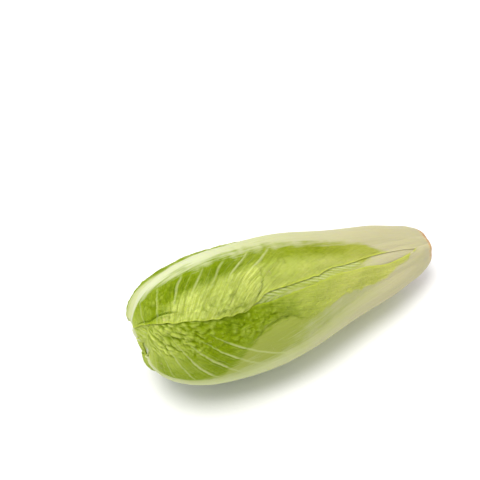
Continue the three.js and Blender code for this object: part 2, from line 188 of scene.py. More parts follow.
# The height field that the leaves are laid over, and how near a sheet goes to it
ROWS, COLUMNS = 97, 128  # from cut to crown, and round the head
DRAPE_PASSES = 40
FINER = 3  # how many times finer the field is sampled where crinkles have to be kept clear
MARGIN_CLEARANCE = 2 * math.pi / COLUMNS
TIP_CLEARANCE = 1 / (ROWS - 1)
FULL_REACH = 255  # the way from cut to crown over the surface
FOOT_REACH = 1.3 * FULL_REACH  # what it would be if the whole way were as long as near the cut
SUNK = 0.4  # how far the middle of the relief lies under the smooth sheet
LOWEST, SOFTLY = -1.0, 0.2  # a hollow goes no nearer than this to the leaf beneath, and gently
HELD_DOWN = 0.85  # how much of its relief a leaf loses under another
TOUCHING = 0.15  # how near a margin comes to the leaf beneath
MOST_SETTLED = -2.6  # and how far down it goes to reach it
RIM_THINNED = 0.35  # how much thinner a leaf is along its margins

# Side veins, and the patterns of a leaf: one feature's length along the leaf and width across it
VEIN_LEAN = 2.4  # how far forward a side vein runs for each mm across, if it sprang from the cut
VEIN_STRAIGHTENS = 0.009  # and how much less for each mm further on that it springs
VEIN_BOW, VEIN_BOW_WIDTH = 9, 7  # it leaves the midrib almost along it, and bends away over this width
SWELL, SMALL_SWELL = (30, 21), (13, 10)
CELL = (8.5, 6.2)
BLISTER = (4.4, 3.4)
PINCH, FINE_PINCH = (4.2, 3.0), (2.0, 1.6)
WRINKLE, FINE_WRINKLE = (2.6, 15), (1.4, 9)
STRIA, FINE_STRIA = (60, 1.7), (45, 0.9)
FLESH_SWELL = (38, 16)
TORN_TOOTH, FINE_TOOTH = (8, 15), (3.4, 6)
MAP_UNIT = 100  # mm to one unit of a leaf's flat maps

# The folds of outer_leaf_1: t of the lobe's edge against degrees round the head, and the degrees of
# the crease at the crown against t
LOBE_EDGE = [(-10, 0.665), (0, 0.655), (5, 0.61), (11, 0.587), (16, 0.568), (24, 0.556), (30, 0.55),
             (60, 0.545)]
CROWN_CREASE = [(0.79, 19), (0.815, 23), (0.841, 26.5), (0.878, 29), (0.902, 38), (0.926, 49)]

# ---------------------------------------------------------------- curves and grain


def curve(points, x):
    """The smooth curve through a few points, which never overshoots them"""
    px, py = np.array(points, float).T
    width = np.diff(px)
    slope = np.diff(py) / width
    tangent = np.concatenate([slope[:1], np.zeros(len(px) - 2), slope[-1:]])
    before, after = slope[:-1], slope[1:]
    same_way = before * after > 0
    tangent[1:-1][same_way] = (2 * before * after)[same_way] / (before + after)[same_way]
    i = np.clip(np.searchsorted(px, x, side="right") - 1, 0, len(px) - 2)
    q = np.clip((x - px[i]) / width[i], 0, 1)
    return (py[i] * (2 * q**3 - 3 * q**2 + 1) + py[i + 1] * (3 * q**2 - 2 * q**3)
            + width[i] * (tangent[i] * (q**3 - 2 * q**2 + q) + tangent[i + 1] * (q**3 - q**2)))


def step_up(low, high, x):
    """0 below low, 1 above high and smooth between them"""
    q = np.clip((x - low) / (high - low), 0, 1)
    return q * q * (3 - 2 * q)


def stretch(start, full, fade, end, x):
    """1 from full to fade, and 0 before start and after end"""
    return step_up(start, full, x) * (1 - step_up(fade, end, x))


def ridge(x, middle, width):
    """A smooth ridge, 1 high along its middle"""
    return np.exp(-(((x - middle) / width) ** 2))


class Grain:
    """Seeded random patterns over a flat sheet, one feature to each unit of length"""

    LAST = 255  # the pattern repeats after 256 features, which is more than any leaf has

    def __init__(self, seed):
        draw = np.random.default_rng(seed)
        self.values = draw.uniform(-1, 1, (self.LAST + 1, self.LAST + 1))
        self.centres = draw.uniform(0.12, 0.88, (2, self.LAST + 1, self.LAST + 1))

    def waves(self, x, y):
        """Smooth rise and fall, from -1 to 1"""
        i, j = np.floor(x), np.floor(y)
        x, y = (f * f * f * (f * (f * 6 - 15) + 10) for f in (x - i, y - j))
        i, j = i.astype(int) & self.LAST, j.astype(int) & self.LAST
        i_next, j_next = (i + 1) & self.LAST, (j + 1) & self.LAST
        near = self.values[i, j]
        near = near + (self.values[i_next, j] - near) * x
        far = self.values[i, j_next]
        far = far + (self.values[i_next, j_next] - far) * x
        return near + (far - near) * y

    def cells(self, x, y):
        """How far it is to the middle of the nearest cell, and how far off its wall is"""
        i, j = np.floor(x).astype(int), np.floor(y).astype(int)
        nearest, second = 9.0, 9.0
        for a in (-1, 0, 1):
            for b in (-1, 0, 1):
                cx, cy = self.centres[:, (i + a) & self.LAST, (j + b) & self.LAST]
                away = np.hypot(i + a + cx - x, j + b + cy - y)
                second = np.minimum(second, np.maximum(nearest, away))
                nearest = np.minimum(nearest, away)
        return nearest, second - nearest


# ---------------------------------------------------------------- wrap coordinates


def spindle(t):
    """How far along the spindle a place is, and how far its height direction leans forwards"""
    leaned = np.maximum(0, (t - LEAN_START) / (1 - LEAN_START)) ** LEAN_EASE
    return SPINDLE_LENGTH * (1 - (1 - t) ** SPINDLE_EASE), math.pi / 2 * leaned


def wrap(t, theta, height):
    """Wrap coordinates to points of the lying head, before it is set down"""
    along, lean = spindle(t)
    x = -(along + height * np.sin(lean))
    out = height * np.cos(lean)
    y = -out * np.cos(theta + FACING_ROLL)
    z = out * np.sin(theta + FACING_ROLL)
    return np.stack([
        x * math.cos(LYING_TILT) + z * math.sin(LYING_TILT),
        y,
        -x * math.sin(LYING_TILT) + z * math.cos(LYING_TILT),
    ], axis=-1)


def head_height(t):
    return curve(HEAD_PROFILE, t)


def stem_height(t):
    return STEM_RADIUS * curve(STEM_PROFILE, t)


def bud_height(t):
    u = np.clip((t - BUD_FROM) / (BUD_TO - BUD_FROM), 0, 1)
    return BUD_RADIUS * np.sin(math.pi * u**0.8) ** 0.7


def envelope(t, theta):
    """Where the head's surface stands before the midribs rise from it"""
    crown = np.maximum(0, (t - CROWN_START) / (1 - CROWN_START))
    side = np.cos(theta - math.radians(OUTER_LEAVES[0]["angle"]))
    return head_height(t) * (1 + CROWN_SLANT * crown * side) - RIBS_RISE * np.minimum(1, t / RISEN_BY)


def field_grid(finer=1):
    """t down and theta across at the cells of the height field, or at finer ones between them"""
    t = np.linspace(0, 1, (ROWS - 1) * finer + 1)[:, None]
    return t, np.arange(COLUMNS * finer)[None, :] / (COLUMNS * finer) * 2 * math.pi


def draped(held):
    """Stretches a sheet over a height field: it touches the high places and bridges the low ones"""
    t = np.linspace(0, 1, ROWS)[:, None]
    lengthwise = 0.5 * np.minimum(1, t / TIGHT_FOOT)
    sheet = held
    for _ in range(DRAPE_PASSES):
        ends = np.concatenate([sheet[:1], sheet, sheet[-1:]])
        along = ends[2:] + ends[:-2]
        across = np.roll(sheet, 1, 1) + np.roll(sheet, -1, 1)
        sheet = np.maximum(held, (along * lengthwise + across * (1 - lengthwise)) / 2)
    return sheet


def field_at(field, t, theta):
    """Reads a height field between its cells, on a smooth surface"""
    row = np.clip(t, 0, 1) * (ROWS - 1)
    column = theta / (2 * math.pi) * COLUMNS
    r, c = np.floor(row).astype(int), np.floor(column).astype(int)

    def weights(f):
        return (f * (f * (2 - f) - 1) / 2, (f * f * (3 * f - 5) + 2) / 2,
                f * (f * (4 - 3 * f) + 1) / 2, f * f * (f - 1) / 2)

    total = 0
    for i, down in enumerate(weights(row - r)):
        for j, over in enumerate(weights(column - c)):
            held = field[np.clip(r + i - 1, 0, ROWS - 1), (c + j - 1) % COLUMNS]
            total = total + down * over * held
    return total


# ---------------------------------------------------------------- one leaf


class Leaf:
    """One leaf as a sheet in wrap coordinates; from_rib is the angle from its midrib"""

    def __init__(self, outside, name, angle, sweep, foot, tip, rib, share, fore, aft, tone, detail,
                 far_tone=None, pale_fore=None, pale_aft=None, verdant=((0, 0), (1, 0.3)), ragged=0.4,
                 wrinkled=0.7, crest_highlight=1, veins=None):
        self.outside = outside  # the leaves that lie over this one
        self.name, self.angle, self.sweep, self.foot, self.tip = name, angle, sweep, foot, tip
        self.rib, self.share, self.fore, self.aft = rib, share, fore, aft
        self.tone, self.far_tone = tone, far_tone or tone
        self.pale_fore, self.pale_aft, self.verdant = pale_fore, pale_aft, verdant
        self.ragged, self.wrinkled, self.crest_highlight = ragged, wrinkled, crest_highlight
        self.detail = detail
        self.vein = veins or dict(spacing=14, first=0, reach=40, springs=(0.3, 0.9))
        self.grain = Grain(sum(map(ord, name)))

    def waves(self, y, s, size, start=(0, 0)):
        """The leaf's grain with features of this size, read from its own start in the pattern"""
        return self.grain.waves(y / size[0] + start[0], s / size[1] + start[1])

    def along(self, t):
        return (t - self.foot) / (self.tip - self.foot)

    def rib_angle(self, t):
        return np.radians(self.angle + self.sweep * np.maximum(self.along(t), 0) ** SWEEP_EASE)

    def girth(self, t):
        return np.maximum(head_height(t) * self.share * np.cos(spindle(t)[1]), LEAST_GIRTH)

    def margins(self, t):
        """Half angles of the blade to its fore and aft margins, which waver a little"""
        girth = self.girth(t)
        reach = []
        for number, side in enumerate((self.fore, self.aft)):
            if isinstance(side, list):
                angle = np.radians(curve(side, t))
            else:
                angle = side * curve(LEAF_OUTLINE, self.along(t)) / girth
            y = t * FULL_REACH
            waver = (1.3 * self.grain.waves(y / 17, 30.5 + 7 * number)
                     + 0.45 * self.grain.waves(y / 4.5, 50.5 + 7 * number))
            waver = waver * step_up(0.12, 0.35, t) * (1 + 1.2 * step_up(0.6, 0.68, t))
            reach.append(np.minimum(np.maximum(angle + waver / girth, 0.01), WIDEST))
        return reach

    def inside(self, t, theta):
        """How many mm inside the margins a place is; negative outside them"""
        fore, aft = self.margins(t)
        turn = theta - self.rib_angle(t)
        turn = turn - 2 * math.pi * np.round(turn / (2 * math.pi))
        sideways = np.where(turn < 0, fore + turn, aft - turn) * self.girth(t)
        return np.minimum(sideways, (self.tip - t) * FULL_REACH)

    def covered(self, t, theta):
        """0 where a leaf shows and 1 where it is well under the leaves outside it"""
        most = np.zeros(np.shape(theta))
        for leaf in self.outside:
            most = np.maximum(most, step_up(-5, 3, leaf.inside(t, theta)))
        return most

    def rib_across(self, t, from_rib):
        """How far across the midrib a place is: 0 on its crest, 1 where it ends"""
        spread = RIB_HALF_WIDTH * self.rib * curve(RIB_SPREAD, self.along(t))
        away = np.abs(from_rib) * head_height(t) * self.share * np.cos(spindle(t)[1])
        return np.minimum(away / spread, 1)

    def thickness(self, t, from_rib):
        crest = (1 - self.rib_across(t, from_rib) ** 2) ** RIB_ROUNDED
        return BLADE_THICKNESS + self.rib * curve(RIB_DEPTH, self.along(t)) * crest

    def sheet(self, t, from_rib):
        """y, s and how far past the edge of the pale flesh a place is: under -1 in the flesh, over 1 in
        the blade"""
        y = t * FULL_REACH
        s = from_rib * self.girth(t)
        if self.pale_fore is None:
            flesh_width = 2.2 * self.rib * curve(RIB_SPREAD, self.along(t))
        else:
            flesh_width = np.where(s < 0, curve(self.pale_fore, t), curve(self.pale_aft, t))
        torn = self.ragged * (1 - step_up(0.57, 0.66, t))
        teeth = 2.4 * self.waves(y, s, TORN_TOOTH, (5.5, 0))
        teeth = teeth + 1.4 * self.waves(y, s, FINE_TOOTH, (0, 25.5))
        soft = np.where(s < 0, step_up(0.36, 0.5, t), step_up(0.5, 0.6, t))
        soft = 3 * soft * (1 - step_up(0.7, 0.78, t))
        return y, s, (np.abs(s) - flesh_width - (0.3 * soft + torn) * teeth) / (4 - 2.6 * torn + soft)

    def veins(self, y, s):
        """Side veins, which leave the midrib and sweep forwards. Gives their height, from 0 to 1, and
        the place on the midrib that the vein through each point would spring from"""
        across = np.minimum(np.abs(s), 60)
        bow = VEIN_BOW * (1 - np.exp(-across / VEIN_BOW_WIDTH))
        root = (y - VEIN_LEAN * across - bow) / (1 - VEIN_STRAIGHTENS * across)
        root = root + 2.0 * self.waves(y, s, (26, 26)) + 0.8 * self.waves(y, s, (9, 9), (40, 0))
        side = np.where(s < 0, 0.0, 0.5)
        lean = np.clip(VEIN_LEAN - VEIN_STRAIGHTENS * root, 0.4, 3)
        squeeze = (1 - VEIN_STRAIGHTENS * across) / np.hypot(1, lean)
        height = 0
        # the veins themselves, then the slighter ones between them
        for closer, strength, width, row in ((1, 1, 0.75, 3.5), (2, 0.25, 0.5, 9.5)):
            spacing = self.vein["spacing"] / closer
            number = (root - self.vein["first"]) / spacing + side
            away = (number - np.round(number)) * spacing * squeeze
            own = 0.7 + 0.4 * self.grain.waves(np.round(number) + 0.5, np.sign(s) * 5 + row)
            fade = 1 - 0.9 * step_up(0.5 * self.vein["reach"], self.vein["reach"], across)
            broad = width * (0.5 + 0.5 * fade + 0.9 * np.exp(-across / 8))
            height = np.maximum(height, strength * own * fade * ridge(away, 0, broad))
        first, last = self.vein["springs"]
        sprung = root / FULL_REACH
        clear = step_up(first - 0.03, first, sprung) * (1 - 0.65 * step_up(last, last + 0.05, sprung))
        return height * (0.12 + 0.88 * clear), root

    def patterns(self, y, s, root):
        """The heights in mm of the blade's broad swells, of the cells between its veins, of its wrinkles
        and of its blisters, and how far off the cells' walls are"""
        warp_y, warp_s = 0.4 * self.waves(y, s, (6, 6)), 0.4 * self.waves(y, s, (7, 7), (50, 0))
        swell = 0.8 * (self.waves(y, s, SWELL, (3.3, 0)) + 0.6 * self.waves(y, s, SMALL_SWELL, (0, 80.1)))
        middle, wall = self.grain.cells(root / CELL[0] + 20.3 + warp_y, s / CELL[1] + 60.2 + warp_s)
        cell = 0.25 * ridge(wall, 0, 0.2) - 0.6 * (middle**2 - 0.25)
        line = np.abs(self.waves(root, s, WRINKLE, (0, 11.7)))
        finer_line = np.abs(self.waves(root, s, FINE_WRINKLE, (9, 0)))
        wrinkle = 0.5 - 1.2 * line - 0.5 * finer_line
        middle, _ = self.grain.cells(y / BLISTER[0] + 10.4 + 0.9 * warp_s,
                                     s / BLISTER[1] + 40.4 + 0.9 * warp_y)
        pinch = np.abs(self.waves(y, s, PINCH, (33 + 1.5 * warp_s, 1.5 * warp_y)))
        finer_pinch = np.abs(self.waves(y, s, FINE_PINCH, (70 + warp_s, warp_y)))
        blister = 1.5 * (0.6 - 1.6 * middle**2) + pinch + finer_pinch - 1.1
        return swell, cell, wrinkle, blister, wall

    def relief(self, t, from_rib, theta):
        """The crinkles, veins and folds of the sheet: their height in mm, and the masks that go with
        them"""
        y, s, beyond = self.sheet(t, from_rib)
        vein, root = self.veins(y, s)
        swell, cell, wrinkle, blister, wall = self.patterns(y, s, root)
        fold, fold_shade = self.folds(t, np.degrees(theta), s)
        crumpled = crumple_zone(self.name, t, theta)
        wrinkled = self.wrinkled * (0.12 + 0.88 * step_up(0.42, 0.56, t))
        inside = self.inside(t, theta)

        blade = step_up(-0.2, 1.2, beyond) * step_up(0.08, 0.25, t)
        crinkles = 0.95 * vein + swell * (1 - 0.4 * crumpled) + cell
        crinkles = crinkles + (0.08 + 0.67 * wrinkled) * wrinkle + (0.12 + crumpled) * blister
        crinkles = crinkles * blade
        near_margin = 1 - step_up(0, 10, inside)
        ruffle = self.grain.waves(y / 8, 90.5) + 0.5 * self.grain.waves(y / 3.6, 95.5)
        height = crinkles + near_margin**2 * step_up(0.3, 0.6, t) * (0.2 + 1.2 * ruffle)
        flesh = (1 - step_up(-0.6, 0.6, beyond)) * step_up(0.02, 0.1, t)
        striae = self.waves(y, s, STRIA, (0, 5)) + 0.5 * self.waves(y, s, FINE_STRIA, (7, 0))
        height = height + flesh * (0.1 * striae + 0.3 * self.waves(y, s, FLESH_SWELL, (2, 2)))
        # flatter at the crown, where the leaves are pressed together, and drawn in at the cut
        height = height * (1 - 0.8 * step_up(0.84, 0.94, t)) - 1.3 * (1 - step_up(0.015, 0.05, t))
        height = height + fold * (1 - 0.8 * step_up(0.91, 0.945, t))

        tone = curve(self.tone, t)
        tone = tone + (curve(self.far_tone, t) - tone) * step_up(15, 26, np.abs(s))
        in_green_flesh = 0.55 * curve(self.verdant, t) * step_up(4, 12, np.abs(s))
        # painted shade: the blade is darkened where its relief is low, and a little everywhere
        low = blade * (0.18 - 0.4 * crinkles) * (0.35 + 0.65 * step_up(0.3, 0.5, t))
        masks = {
            "pale": np.clip(0.5 - 0.5 * beyond, 0, 1),
            "vein": vein * np.maximum(blade, in_green_flesh),
            # painted highlight along the midrib's crest towards the crown
            "crest": self.crest_highlight * (1 - self.rib_across(t, from_rib) ** 2) * step_up(0.5, 0.72, t),
            "web": np.clip(1 - wall * 3.2, 0, 1) * blade,
            "rim": 1 - step_up(0, 2.2, inside),
            # painted shade: in hollows, creases, the tear, at the feet of folds and under the lobe
            "hollow": np.clip(fold_shade + low, 0, 1),
            "wrinkled": wrinkled * blade,
            # painted highlights and shade: the crumples' peaks are made yellower and paler, their pits
            # greener and darker
            "tone": tone - 0.35 * crumpled * blade * np.clip(blister, -1, 1.5),
            "root": root,
            "settled": (1 - step_up(1, 7, inside)) * (1 - 0.3 * step_up(0.46, 0.6, t)),
            # painted glow: along a leaf's own margins and where the margins of leaves outside it lie close
            "close": np.maximum(1 - step_up(0, 1.4, inside), step_up(0.2, 0.9, self.covered(t, theta))),
        }
        return height, masks

    def folds(self, t, degrees, s):
        """The few folds that a leaf is known by: their height in mm, and the shade painted at and along
        them
        """
        if self.name == "outer_leaf_1":
            return self.lobe(t, degrees)
        if self.name == "outer_leaf_2":
            return self.laps(t, degrees, s)
        if self.name == "outer_leaf_4":
            return self.short_fold(t, degrees)
        return 0 * degrees, 0 * degrees

    def lobe(self, t, degrees):
        """The lobe, which laps over the narrower blade nearer the cut, the valley between it and the
        midrib, and the crease that runs on from that to the crown. Shade is painted at the lobe's foot, in
        the valley and in the crease."""
        ragged = 1.3 * self.grain.waves(degrees / 4.5, 61.5) + 0.7 * self.grain.waves(degrees / 1.8, 66.5)
        past = (t - curve(LOBE_EDGE, degrees)) * FULL_REACH + ragged
        reach = 1 - step_up(20, 44, degrees)
        lobe = stretch(-0.6, 0.8, 22, 66, past) * reach
        # painted shade at the foot of the lobe's edge
        foot = 0.5 * ridge(past, -1.0, 0.9) * reach
        valley = ridge(degrees, 43, 9) * stretch(0.45, 0.58, 0.82, 0.9, t)
        below = (curve(CROWN_CREASE, t) - degrees) * 0.7
        by_crown = stretch(0.785, 0.82, 0.93, 0.942, t)
        tip = stretch(-0.5, 0.9, 4, 15, below) * by_crown
        crease = ridge(below, -0.8, 1.0) * by_crown
        return 2.2 * lobe - valley + 1.9 * tip - 0.9 * crease, foot + 0.3 * valley + crease

    def laps(self, t, degrees, s):
        """The small laps where the green blade ends above the pale flesh, a short tear further down its
        edge, and a hollow under the lobe of the leaf outside it. Shade is painted at the laps' feet and in
        the tear, and the lobe's shadow is painted into the hollow."""
        past = s - curve(self.pale_aft, t) + 1.6 * self.grain.waves(t * FULL_REACH / 9 + 4.5, 44.5)
        among_laps = stretch(0.44, 0.5, 0.6, 0.65, t)
        lap = stretch(-0.5, 0.8, 6, 16, past) * among_laps
        # painted shade at the foot of the laps
        foot = 0.3 * ridge(past, -0.8, 0.8) * among_laps
        tear = ridge((t - 0.268) * FULL_REACH, 0, 0.7) * stretch(13, 14.5, 18, 19.5, s)
        # a hollow under the lobe, with the lobe's shadow painted into it
        under = 0.75 * ridge(t, 0.67, 0.045) * ridge(degrees, -6, 9)
        return 1.1 * lap - 0.5 * tear - under, foot + tear + under

    def short_fold(self, t, degrees):
        """A short fold that runs from under the lobe towards the cut, with shade painted along it"""
        across = degrees - 7 + (t - 0.535) * 100
        fold = ridge(across, 0, 0.9) * stretch(0.528, 0.54, 0.57, 0.58, t)
        # the fold dips, and shade is painted along it
        return -0.6 * fold, 0.8 * fold

    def lift(self, t, from_rib, room):
        """How far the sheet stands off the surface that it is draped over: its relief, less where other
        leaves hold it down. Its margins settle into the room beneath it."""
        theta = from_rib + self.rib_angle(t)
        theta = theta - 2 * math.pi * np.round(theta / (2 * math.pi))
        height, masks = self.relief(t, from_rib, theta)
        free = 1 - HELD_DOWN * self.covered(t, theta)
        lifted = (LOWEST + SOFTLY * np.logaddexp(0, (height - SUNK - LOWEST) / SOFTLY)) * free
        down = np.maximum(TOUCHING - field_at(room, t, theta), MOST_SETTLED)
        return lifted + masks.pop("settled") * (np.minimum(down, lifted) - lifted), masks

    def laid(self, t, from_rib, under, room):
        """Where the laid leaf's inner and outer sides are, and its masks"""
        lift, masks = self.lift(t, from_rib, room)
        inner = field_at(under, t, from_rib + self.rib_angle(t)) + lift
        thinned = RIM_THINNED * masks["rim"] * step_up(0.05, 0.12, t)
        return inner, inner + self.thickness(t, from_rib) - thinned, masks


def crumple_zone(name, t, theta):
    """Where a blade is blistered rather than smooth, from 0 to 1"""
    degrees = np.degrees(theta)
    if name == "outer_leaf_1":
        by_margin = 0.5 * stretch(0.58, 0.66, 0.84, 0.9, t) * (1 - step_up(4, 22, degrees))
        by_rib = 0.65 * ridge(t, 0.81, 0.055) * ridge(degrees, 44, 11)
        return 0.1 + by_margin + by_rib
    if name == "outer_leaf_2":
        far = step_up(0.66, 0.78, t) * step_up(-38, -14, degrees) * (1 - 0.7 * step_up(0.88, 0.93, t))
        nearer = 0.45 * step_up(0.5, 0.6, t) * step_up(-30, -14, degrees)
        return 0.1 + 0.9 * np.maximum(far, nearer)
    return 0.2 + 0.3 * step_up(0.6, 0.8, t)


def all_leaves():
    """Every leaf, outermost first; each knows the ones outside it"""
    settings = [dict(leaf) for leaf in OUTER_LEAVES]
    for i in range(INNER_LEAVES):
        width = float(curve(INNER_WIDTH, i))
        middle = i < MIDDLE_LEAVES
        settings.append(dict(
            name=f"middle_leaf_{i + 1}" if middle else f"heart_leaf_{i + 1 - MIDDLE_LEAVES}",
            angle=INNER_FIRST_ANGLE + i * GROWTH_ANGLE, sweep=4,
            foot=float(curve(INNER_FOOT, i)), tip=float(curve(INNER_TIP, i)), fore=width, aft=width,
            rib=float(curve(INNER_RIB, i)), share=float(curve(INNER_SHARE, i)),
            tone=[(0, 0.0), (1, float(curve(INNER_TONE, i)))], detail=(72, 26) if middle else (40, 12),
        ))
    leaves = []
    for values in settings:
        leaves.append(Leaf(outside=tuple(leaves), **values))
    return leaves


def lay(leaves):
    """Lays the leaves from the inside out. Gives the field that each is draped over with the room
    under it, and the head's top"""
    t, theta = field_grid()
    fine_t, fine_theta = field_grid(FINER)
    top = np.maximum(stem_height(t), bud_height(t)) + 0 * theta
    lies_on = {}
    for leaf in reversed(leaves):
        held = np.maximum(top + curve(LEAF_GAP, t), envelope(t, theta) * leaf.share - BLADE_THICKNESS)
        under = draped(held)
        room = under - top
        lies_on[leaf.name] = under, room
        turn = fine_theta - leaf.rib_angle(fine_t)
        from_rib = turn - 2 * math.pi * np.round(turn / (2 * math.pi))
        fore, aft = leaf.margins(fine_t)
        there = ((fine_t >= leaf.foot) & (fine_t <= leaf.tip + TIP_CLEARANCE)
                 & (from_rib > -fore - MARGIN_CLEARANCE) & (from_rib < aft + MARGIN_CLEARANCE))
        rise = leaf.thickness(fine_t, from_rib) + leaf.lift(fine_t, from_rib, room)[0]
        rise = np.where(there, rise, -1.0)
        # each cell of the field takes the highest of the finer ones round it
        highest = rise[::FINER, ::FINER].copy()
        padded = np.pad(rise, ((FINER - 1, FINER - 1), (0, 0)), mode="edge")
        for down in range(2 * FINER - 1):
            band = padded[down:down + rise.shape[0]:FINER]
            for over in range(1 - FINER, FINER):
                highest = np.maximum(highest, np.roll(band, over, 1)[:, ::FINER])
        top = np.where(highest > 0, np.maximum(top, under + highest), top)
    return lies_on, top


def set_down(top):
    """How the head is set on the floor: gives the function from wrap coordinates to metres in the
    frame. The part that would sink into the floor is pressed in."""
    # the construction's stem says where the head lies
    t = np.linspace(0, STEM_TIP_T, 13)[:, None]
    theta = np.linspace(0, 2 * math.pi, 721)[None, :]
    stem = wrap(t, theta, np.broadcast_to(stem_height(t), (len(t), theta.size))).reshape(-1, 3)
    low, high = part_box("stem")
    shift = (np.array(low) + np.array(high)) / 2 / MM - (stem.min(0) + stem.max(0)) / 2
    grid_t, grid_theta = field_grid()
    bottom = wrap(grid_t, grid_theta, 0 * top)[..., 2] + shift[2]
    full = wrap(grid_t, grid_theta, top)[..., 2] + shift[2]
    press = np.where(full >= 0, 1, bottom / np.maximum(bottom - full, 0.01))

    def place(t, theta, height):
        points = wrap(t, theta, height * np.clip(field_at(press, t, theta), 0, 1)) + shift
        points[..., 2] = np.maximum(points[..., 2], 0)
        return points * MM

    return place


# ---------------------------------------------------------------- meshes


def mesh_piece(name, points, faces, masks, maps=None):
    """A smooth-shaded piece from points in metres, with its masks and flat maps stored on them"""
    mesh = bpy.data.meshes.new(name)
    mesh.from_pydata(points.reshape(-1, 3).tolist(), [], faces)
    mesh.polygons.foreach_set("use_smooth", [True] * len(mesh.polygons))
    for key, values in masks.items():
        attribute = mesh.attributes.new(key, "FLOAT", "POINT")
        attribute.data.foreach_set("value", np.ascontiguousarray(values, np.float32).ravel())
    for key, uv in (maps or {}).items():
        layer = mesh.uv_layers.new(name=key)
        corner = np.empty(len(mesh.loops), np.int32)
        mesh.loops.foreach_get("vertex_index", corner)
        layer.data.foreach_set("uv", np.ascontiguousarray(uv[corner], np.float32).ravel())
    mesh.validate()
    piece = bpy.data.objects.new(name, mesh)
    bpy.context.scene.collection.objects.link(piece)
    return piece


def sheet_faces(rows, columns):
    """Faces of a closed sheet: a fine outer grid, an inner grid half as fine, and the rim between"""
    outer = np.arange(rows * columns).reshape(rows, columns)
    inner = rows * columns + np.arange((rows // 2 + 1) * (columns // 2 + 1)).reshape(rows // 2 + 1, -1)
    faces = []
    for grid, outward in ((outer, True), (inner, False)):
        a, b, c, d = grid[:-1, :-1], grid[:-1, 1:], grid[1:, 1:], grid[1:, :-1]
        corners = (a, b, c, d) if outward else (a, d, c, b)
        faces += np.stack(corners, -1).reshape(-1, 4).tolist()

    def loop_round(grid):
        return np.concatenate([grid[0, :-1], grid[:-1, -1], grid[-1, :0:-1], grid[:0:-1, 0]])

    fine, half = loop_round(outer), loop_round(inner)
    for k in range(len(half)):
        rim = (fine[2 * k], half[k], half[(k + 1) % len(half)], fine[(2 * k + 2) % len(fine)],
               fine[2 * k + 1])
        faces.append([int(corner) for corner in rim])
    return faces


def leaf_piece(leaf, under, room, place):
    """The finished sheet of one leaf"""
    half_rows, half_columns = leaf.detail
    even = np.linspace(0, 1, 2 * half_rows + 1)[:, None]
    u = 0.75 * even + 0.125 * (1 - np.cos(math.pi * even))  # rows stand closer at the foot and tip
    t = leaf.foot + u * (leaf.tip - leaf.foot)
    fore, aft = leaf.margins(t)
    across = np.linspace(-1, 1, 4 * half_columns + 1)[None, :]
    from_rib = np.where(across < 0, across * fore, across * aft)
    theta = from_rib + leaf.rib_angle(t)
    inner, outer, masks = leaf.laid(t, from_rib, under, room)
    points = np.concatenate([
        place(t, theta, outer).reshape(-1, 3),
        place(t, theta, inner)[::2, ::2].reshape(-1, 3),
    ])
    y, s, _ = leaf.sheet(t, from_rib)
    masks["along"] = t
    masks["verdant"] = curve(leaf.verdant, t) * (
        0.15 + 0.85 * step_up(3, 15, np.abs(s)) + 0.6 * step_up(22, 34, np.abs(s)))
    masks["cut"] = 1 - step_up(0.5, 11, (t - leaf.foot) * FOOT_REACH)
    root = np.broadcast_to(masks.pop("root"), theta.shape)
    whole = {key: np.broadcast_to(v, theta.shape) for key, v in masks.items()}
    both = {key: np.concatenate([v.ravel(), v[::2, ::2].ravel()]) for key, v in whole.items()}
    maps = {}
    for key, first in (("flat", y), ("veined", root)):
        uv = np.stack(np.broadcast_arrays(first, s), -1) / MAP_UNIT
        maps[key] = np.concatenate([uv.reshape(-1, 2), uv[::2, ::2].reshape(-1, 2)])
    piece = mesh_piece(leaf.name + "_sheet", points, sheet_faces(*from_rib.shape), both, maps)
    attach(piece, "root")
    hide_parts(leaf.name)
    return piece


def turned_piece(name, node, t, radius, theta_count, place, masks):
    """A closed solid turned about the spindle, from its t and radius ring by ring; both ends are poles"""
    rings, t, radius = len(t), t[:, None], radius[:, None]
    theta = np.linspace(0, 2 * math.pi, theta_count, endpoint=False)[None, :]
    uneven = 0.12 * Grain(len(name)).waves(np.cos(theta) * 4 + t * 60, np.sin(theta) * 4)
    height = np.where(radius < 0.2, radius, radius + uneven)
    points = place(np.broadcast_to(t, height.shape), np.broadcast_to(theta, height.shape), height)
    ends = np.stack([points[0].mean(0), points[-1].mean(0)])
    all_points = np.concatenate([points.reshape(-1, 3), ends])
    ring = np.arange(rings * theta_count).reshape(rings, theta_count)
    over = np.roll(ring, -1, 1)
    faces = np.stack([ring[:-1], over[:-1], over[1:], ring[1:]], -1).reshape(-1, 4).tolist()
    first, last = rings * theta_count, rings * theta_count + 1
    faces += [[first, int(b), int(a)] for a, b in zip(ring[0], over[0])]
    faces += [[last, int(a), int(b)] for a, b in zip(ring[-1], over[-1])]
    spread = {
        key: np.concatenate([np.repeat(v, theta_count), v[[0, -1]]]) for key, v in masks.items()
    }
    piece = mesh_piece(name, all_points, faces, spread)
    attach(piece, "root")
    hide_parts(node)
    return piece


def stem_piece(place):
    """The stem: a cut face with a slightly sunken pith, a browned rim, and a body hidden by the leaves"""
    face = np.linspace(0.02, 1, 26)  # shares of the radius, from the middle out
    body = np.linspace(0.002, STEM_TIP_T, 30)  # t, from the rim to the tip inside the head
    t = np.concatenate([0.0004 * (1 - face) ** 2, body])
    flared = stem_height(body) + 0.4 * step_up(0, 0.006, body) * (1 - step_up(0.03, 0.06, body))
    radius = np.concatenate([face * stem_height(0.0), flared])
    radius[-1] = POLE_RADIUS
    masks = {
        "out": np.concatenate([face, np.ones(len(body))]),
        "cut": np.concatenate([np.ones(len(face)), 1 - step_up(0.0, 0.012, body)]),
    }
    return turned_piece("stem_cut", "stem", t, radius, 96, place, masks)


